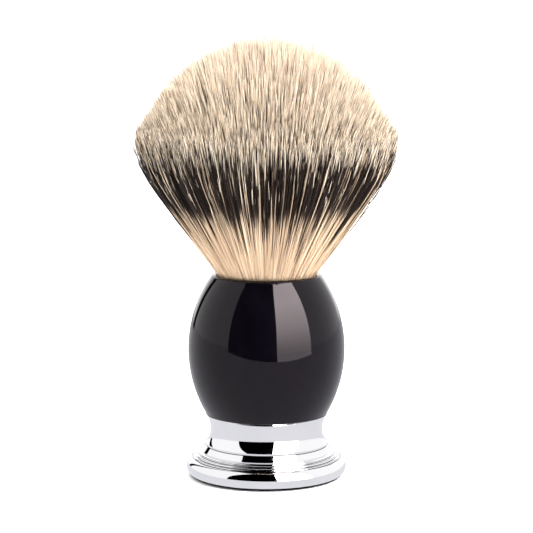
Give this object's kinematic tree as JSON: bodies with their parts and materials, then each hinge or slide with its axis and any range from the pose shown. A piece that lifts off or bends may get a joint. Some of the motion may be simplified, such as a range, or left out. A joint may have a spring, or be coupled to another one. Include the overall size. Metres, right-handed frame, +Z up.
{
  "type": "shaving brush",
  "caption": "Shaving brush with a dense banded hair knot set in a glossy barrel-shaped resin handle on a flared, plated metal foot.",
  "frame": {"origin": "centre of the foot pad's underside, which the brush stands on", "axes": "+Z up along the axis that the handle is turned about; X and Y are level, and the brush looks the same from every side"},
  "size_m": [0.06, 0.06, 0.1024],
  "materials": {
    "pad_felt": "pressed felt",
    "cover_plastic": "moulded, satin",
    "screw_steel": "zinc plated",
    "plated_metal": "mirror polished plating",
    "gasket_rubber": "matt",
    "insert_brass": "turned",
    "handle_resin": "cast resin, polished to a high gloss",
    "knot_resin": "cured casting resin",
    "cup_plastic": "moulded",
    "waxed_thread": "waxed thread",
    "hair": "soft natural hair, cream at the root, dark band, pale tips"
  },
  "bodies": {
    "handle": {"foot_pad": "pad_felt", "cover_disc": "cover_plastic", "base_screw": "screw_steel", "spring_washer": "screw_steel", "plain_washer": "screw_steel", "foot": "plated_metal", "collar_gasket": "gasket_rubber", "threaded_insert": "insert_brass", "barrel": "handle_resin", "socket_glue": "knot_resin", "knot_cup": "cup_plastic", "root_plug": "knot_resin", "binding_thread": "waxed_thread", "hair_root": "hair"},
    "neck": {"hair_neck": "hair"},
    "bloom": {"hair_bloom": "hair"}
  },
  "joints": [
    {"name": "tuft_nod", "type": "hinge", "parent": "handle", "child": "neck", "pos_m": [0, 0, 0.0502], "axis": [1, 0, 0], "range_deg": [-20, 20], "stiffness_Nm_per_rad": 0.12},
    {"name": "tuft_sway", "type": "hinge", "parent": "neck", "child": "bloom", "pos_m": [0, 0, 0.0502], "axis": [0, 1, 0], "range_deg": [-20, 20], "stiffness_Nm_per_rad": 0.12}
  ]
}
